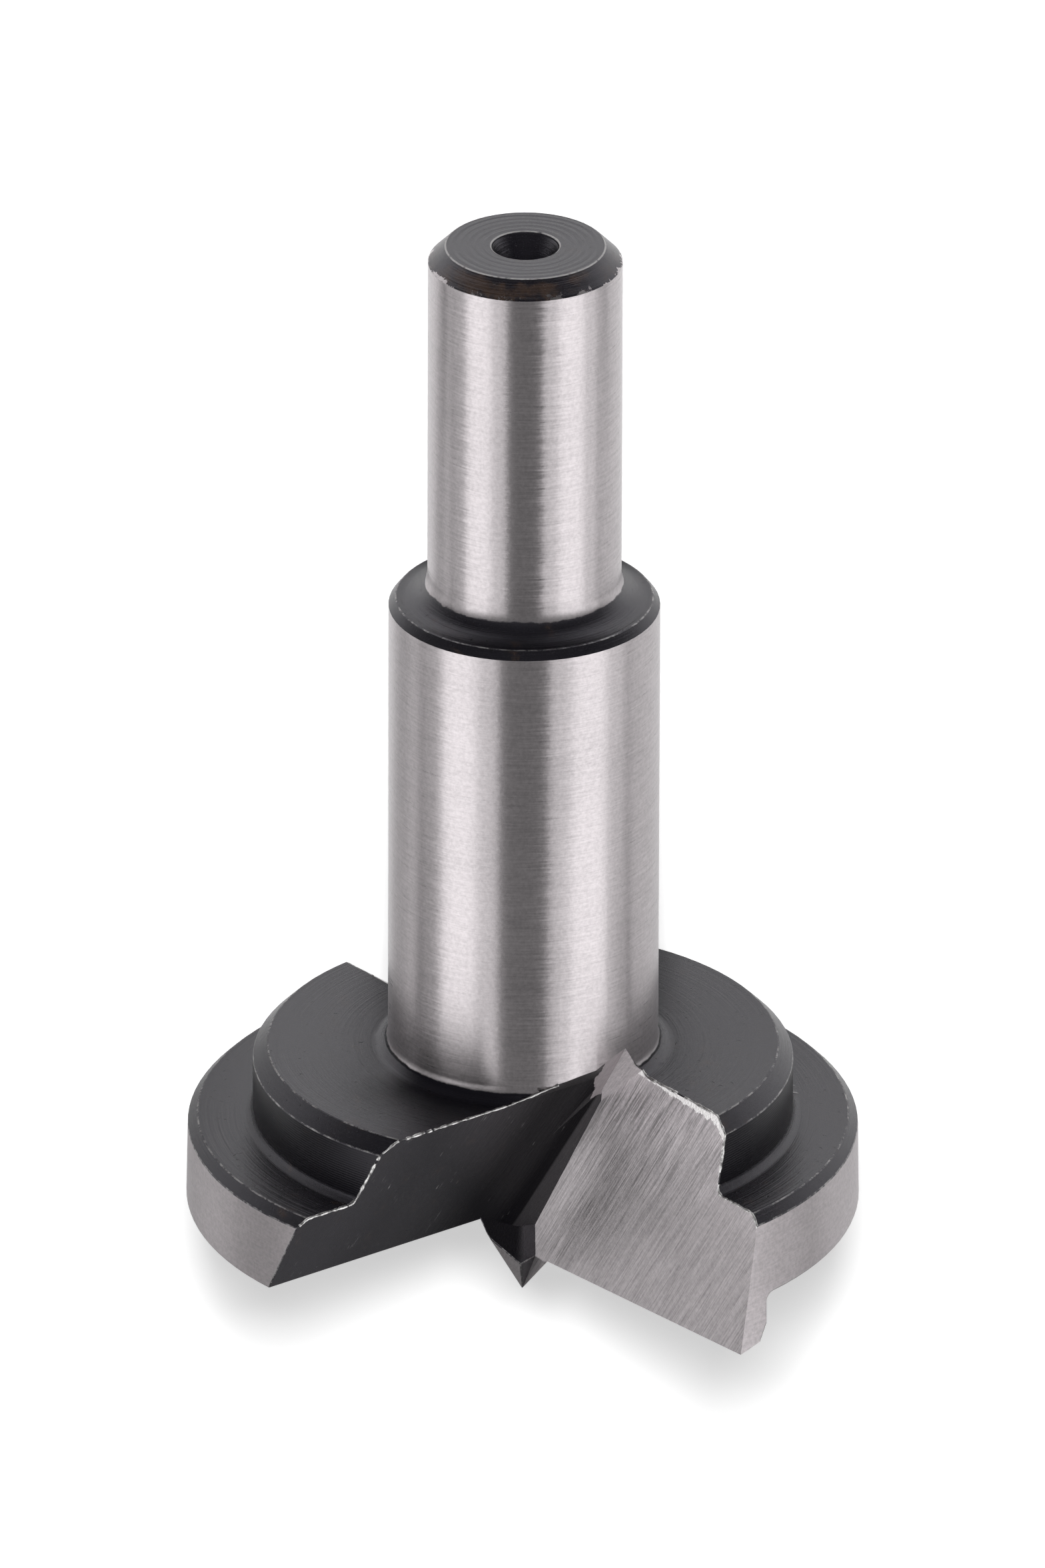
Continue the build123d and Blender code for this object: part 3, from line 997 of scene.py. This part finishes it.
def burr_tree(material):
    """Geometry nodes that lay a ragged burr along the edges of the mesh they are given."""
    tree = bpy.data.node_groups.new("gullet_burr", "GeometryNodeTree")
    burr_inputs(tree)
    graph = Graph(tree)
    seed_step, full_stray = 17.0, 2.0
    given = graph.add("NodeGroupInput").outputs
    seed = graph.times(given["Seed"], seed_step)
    curve = graph.add("GeometryNodeMeshToCurve", {"Mesh": given["Geometry"]}).outputs[0]
    even = graph.add("GeometryNodeResampleCurve", {"Curve": curve, "Length": given["Step"]}, mode="LENGTH")
    position = graph.add("GeometryNodeInputPosition").outputs[0]
    place = graph.scaled(position, 1.0 / MM)

    def field(scale, shift):
        made = graph.add("ShaderNodeTexNoise", {
            "Vector": place, "W": graph.plus(seed, shift), "Scale": scale, "Detail": 2.0},
            noise_dimensions="4D")
        return made.outputs

    far = graph.vector("LENGTH", graph.vector("SUBTRACT", position, given["Worst place"]))
    worst = graph.ramp(far, *BURR_FALL)
    stray = graph.vector("SUBTRACT", field(scale=2.0, shift=0.0)["Color"], (0.5, 0.5, 0.5))
    stray = graph.scaled(stray, graph.times(given["Wander"], worst, full_stray))
    moved = graph.add("GeometryNodeSetPosition", {"Geometry": even.outputs[0], "Offset": stray}).outputs[0]
    wire = graph.add("GeometryNodeCurveToMesh", {"Curve": moved}).outputs[0]
    spread = graph.step(field(scale=1.3, shift=5.0)["Fac"], *GAP_LEVELS)
    sparse = graph.math("LESS_THAN", spread, given["Gaps"])
    kept = graph.add("GeometryNodeDeleteGeometry", {"Geometry": wire, "Selection": sparse}, domain="EDGE")
    strips = graph.add("GeometryNodeMeshToCurve", {"Mesh": kept.outputs[0]}).outputs[0]
    beads = graph.ramp(field(scale=2.4, shift=9.0)["Fac"], *BURR_BEADS)
    size = graph.times(beads, worst, given["Thickness"])
    profile = graph.add("GeometryNodeCurvePrimitiveCircle", {"Resolution": 5, "Radius": 1.0})
    solid = graph.add("GeometryNodeCurveToMesh", {
        "Curve": strips, "Profile Curve": profile.outputs[0], "Scale": size, "Fill Caps": True}).outputs[0]
    real = graph.add("GeometryNodeRealizeInstances", {0: solid}).outputs[0]
    done = graph.add("GeometryNodeSetMaterial", {"Geometry": real, "Material": material}).outputs[0]
    graph.add("NodeGroupOutput", {0: done})
    return tree


def gullet_edges(matrix):
    """Mesh of the edges between the gullets and the turned faces, high enough to carry a burr."""
    steel = merged_steel(matrix)
    tops = set()
    for edge in steel.edges:
        names = [finish_of(face) for face in edge.link_faces]
        turned_face = any(name in ("black_oxide", "turned_wall") for name in names)
        cut_face = any("rake" in name or "milled" in name for name in names)
        above = min(v.co.z for v in edge.verts) / MM > BURR_LOW
        if turned_face and cut_face and above:
            tops.add(edge)
    others = [edge for edge in steel.edges if edge not in tops]
    bmesh.ops.delete(steel, geom=others, context="EDGES")
    return to_mesh("gullet_edges", steel, matrix)


def torn_steel(graph, place):
    """Bright torn steel of the burrs."""
    dull_share = 0.4
    beads = graph.step(graph.noise(place, scale=3.0), *BEAD_LEVELS)
    finish = settings().finish
    colour = graph.mix(beads, dimmed(finish.bright, dull_share), finish.bead)
    return torn_surface(graph, place, colour, rough=0.45, grain=10.0)


class FORSTNER_OT_gullet_burrs(bpy.types.Operator):
    """Makes the burr that the mill and the wheel left along the gullets"""
    bl_idname = "forstner.gullet_burrs"
    bl_label = "Gullet burrs"

    def execute(self, context):
        sizes = settings().burr
        matrix = tool_matrix(settings().bit.turn)
        source = add_object("gullet_edges", gullet_edges(matrix))
        tree = burr_tree(new_finish("torn_steel", torn_steel))
        modifier = source.modifiers.new("burr", "NODES")
        modifier.node_group = tree
        worst = matrix @ (Vector(BURR_MIDDLE) * MM)
        values = {"Step": sizes.step, "Thickness": sizes.thickness, "Wander": sizes.wander,
                  "Gaps": sizes.gaps, "Worst place": worst, "Seed": sizes.seed}
        for item in tree.interface.items_tree:
            if item.in_out == "INPUT" and item.name in values:
                modifier[item.identifier] = values[item.name]
        context.view_layer.update()
        ready = source.evaluated_get(context.evaluated_depsgraph_get())
        mesh = bpy.data.meshes.new_from_object(ready)
        if not mesh.polygons:
            raise RuntimeError("the gullet burrs came out empty")
        bpy.data.objects.remove(source)
        burrs = add_object("gullet_burrs", mesh)
        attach(burrs, BODY)
        return {"FINISHED"}


def card(name, corners, material):
    """A flat four-cornered object."""
    mesh = bpy.data.meshes.new(name)
    mesh.from_pydata(corners, [], [(0, 1, 2, 3)])
    mesh.materials.append(material)
    return add_object(name, mesh)


def pale_floor():
    """Plain pale floor, white to the camera, that keeps the shadow and dims to the sides in steel."""
    material, graph = new_material("pale_floor")
    behind_start, behind_end, off_start, off_end, behind_dim = 0.0, 0.03, 0.018, 0.040, 0.7
    path = graph.add("ShaderNodeLightPath").outputs
    lift = graph.times(path["Is Camera Ray"], settings().studio.floor_lift)
    side, ahead, _ = graph.split(graph.add("ShaderNodeTexCoord").outputs["Object"])
    off = graph.step(graph.math("ABSOLUTE", side), off_start, off_end)
    dim = graph.times(graph.step(ahead, behind_start, behind_end), off, behind_dim)
    for ramp in DIM_FLOOR.values():
        dim = graph.plus(dim, graph.ramp(side, *ramp))
    dim = graph.times(dim, path["Is Glossy Ray"])
    paper = graph.add("ShaderNodeBsdfDiffuse", {"Color": graph.mix(dim, PAPER, (0.0, 0.0, 0.0))}).outputs[0]
    white = graph.add("ShaderNodeEmission", {"Strength": lift}).outputs[0]
    graph.finish(graph.add("ShaderNodeAddShader", {0: paper, 1: white}).outputs[0])
    return material


def light_room(radiance):
    """World: white to the camera, and the grey of the room to everything else."""
    world = bpy.data.worlds.new("room")
    bpy.context.scene.world = world
    world.use_nodes = True
    graph = Graph(world.node_tree)
    seen = graph.add("ShaderNodeLightPath").outputs["Is Camera Ray"]
    strength = graph.scale(seen, radiance, 1.0)
    back = graph.add("ShaderNodeBackground", {"Color": (1.0, 1.0, 1.0, 1.0), "Strength": strength})
    graph.add("ShaderNodeOutputWorld", {"Surface": back.outputs[0]})


def soft_panel(name, aim, towards, along, width, length, radiance):
    """Area light that faces the aim point, with its long side along the direction given."""
    light = bpy.data.lights.new(name, "AREA")
    light.shape = "RECTANGLE"
    light.size = width
    light.size_y = length
    light.energy = PANEL_POWER * width * length * radiance
    lamp = add_object(name, light)
    back = towards.normalized()
    side = along.cross(back).normalized()
    matrix = Matrix((side, back.cross(side), back)).transposed().to_4x4()
    matrix.translation = aim + back * PANEL_DISTANCE
    lamp.matrix_world = matrix
    return lamp


def light_panels(studio):
    """Long panels beside the tool that its steel mirrors. They light nothing else."""
    along = Vector((0.0, 1.0, 0.0))
    aim = along * (PANEL_START + PANEL_END) / 2
    length = PANEL_END - PANEL_START
    for name, (start, end, setting) in PANELS.items():
        middle, half_angle = math.radians((start + end) / 2), math.radians(abs(end - start) / 2)
        towards = Vector((math.sin(middle), 0.0, math.cos(middle)))
        width = 2 * PANEL_DISTANCE * math.tan(half_angle)
        panel = soft_panel(name, aim, towards, along, width, length, getattr(studio, setting))
        panel.visible_diffuse = False


def light_lamps(studio):
    """Key and fill light, which reflections don't show."""
    across = Vector((1.0, 0.0, 0.0))
    for name, (towards, width) in LAMPS.items():
        radiance = getattr(studio, f"{name}_radiance")
        lamp = soft_panel(f"{name}_light", Vector(), Vector(towards), across, width, width, radiance)
        lamp.visible_glossy = False


def dark_flag(name, place, half_width, height, radiance):
    """Dark card across the tool's length that shows only in reflections, as a flag beside a lens does."""
    material, graph = new_material(name)
    graph.finish(graph.add("ShaderNodeEmission", {"Strength": radiance}).outputs[0])
    corners = [(-half_width, place, 0.0), (half_width, place, 0.0),
               (half_width, place, height), (-half_width, place, height)]
    flag = card(name, corners, material)
    flag.visible_camera = False
    flag.visible_diffuse = False
    flag.visible_shadow = False


def set_camera(studio, matrix):
    """Camera at the photograph's place, given on the standing tool."""
    turn, rise = studio.camera_turn, studio.camera_rise
    back = Vector((math.cos(rise) * math.sin(turn), -math.cos(rise) * math.cos(turn), math.sin(rise)))
    right = Vector((math.cos(turn), math.sin(turn), 0.0))
    up = back.cross(right)
    roll = Matrix.Rotation(studio.camera_roll, 3, back)
    place = Vector((0.0, 0.0, studio.aim_height)) + right * studio.aim_side + back * studio.camera_distance
    local = Matrix((roll @ right, roll @ up, back)).transposed().to_4x4()
    local.translation = place
    data = bpy.data.cameras.new("camera")
    data.lens = studio.lens
    data.sensor_width = SENSOR_WIDTH
    data.clip_start, data.clip_end = CLIP_RANGE
    camera = add_object("camera", data)
    camera.matrix_world = matrix @ local
    bpy.context.scene.camera = camera


class FORSTNER_OT_studio(bpy.types.Operator):
    """Sets the camera, the pale floor and the lights"""
    bl_idname = "forstner.studio"
    bl_label = "Studio"

    def execute(self, context):
        studio = settings().studio
        set_camera(studio, tool_matrix(settings().bit.turn))
        half = studio.floor_size / 2
        corners = [(-half, -half, 0.0), (half, -half, 0.0), (half, half, 0.0), (-half, half, 0.0)]
        floor = card("floor", corners, pale_floor())
        light_room(studio.world_radiance)
        light_panels(studio)
        light_lamps(studio)
        for name, sizes in FLAGS.items():
            dark_flag(name, *sizes)
        context.scene.view_settings.view_transform = "Standard"
        return {"FINISHED"}


class FORSTNER_PT_sidebar(bpy.types.Panel):
    """Lists the pieces of the forstner bit and their settings"""
    bl_idname = "FORSTNER_PT_sidebar"
    bl_label = "Forstner bit"
    bl_space_type = "VIEW_3D"
    bl_region_type = "UI"
    bl_category = "Forstner bit"

    def draw(self, context):
        for operator in OPERATORS:
            self.layout.operator(operator.bl_idname)
        for group in (settings().bit, settings().burr, settings().finish, settings().studio):
            box = self.layout.box()
            for name in group.__annotations__:
                box.prop(group, name)


GROUPS = (BitSettings, BurrSettings, FinishSettings, StudioSettings, ForstnerSettings)
OPERATORS = (FORSTNER_OT_cutter_body, FORSTNER_OT_gullet_burrs, FORSTNER_OT_studio)
CLASSES = (*GROUPS, *OPERATORS, FORSTNER_PT_sidebar)


def register():
    """Registers the classes and the settings."""
    for made in CLASSES:
        bpy.utils.register_class(made)
    bpy.types.Scene.forstner_bit = PointerProperty(type=ForstnerSettings)


def unregister():
    """Takes the settings and the classes away again."""
    del bpy.types.Scene.forstner_bit
    for made in reversed(CLASSES):
        bpy.utils.unregister_class(made)


def main():
    """Makes every piece and the stage."""
    register()
    bpy.ops.forstner.cutter_body()
    bpy.ops.forstner.gullet_burrs()
    bpy.ops.forstner.studio()


if __name__ == "__main__":
    main()
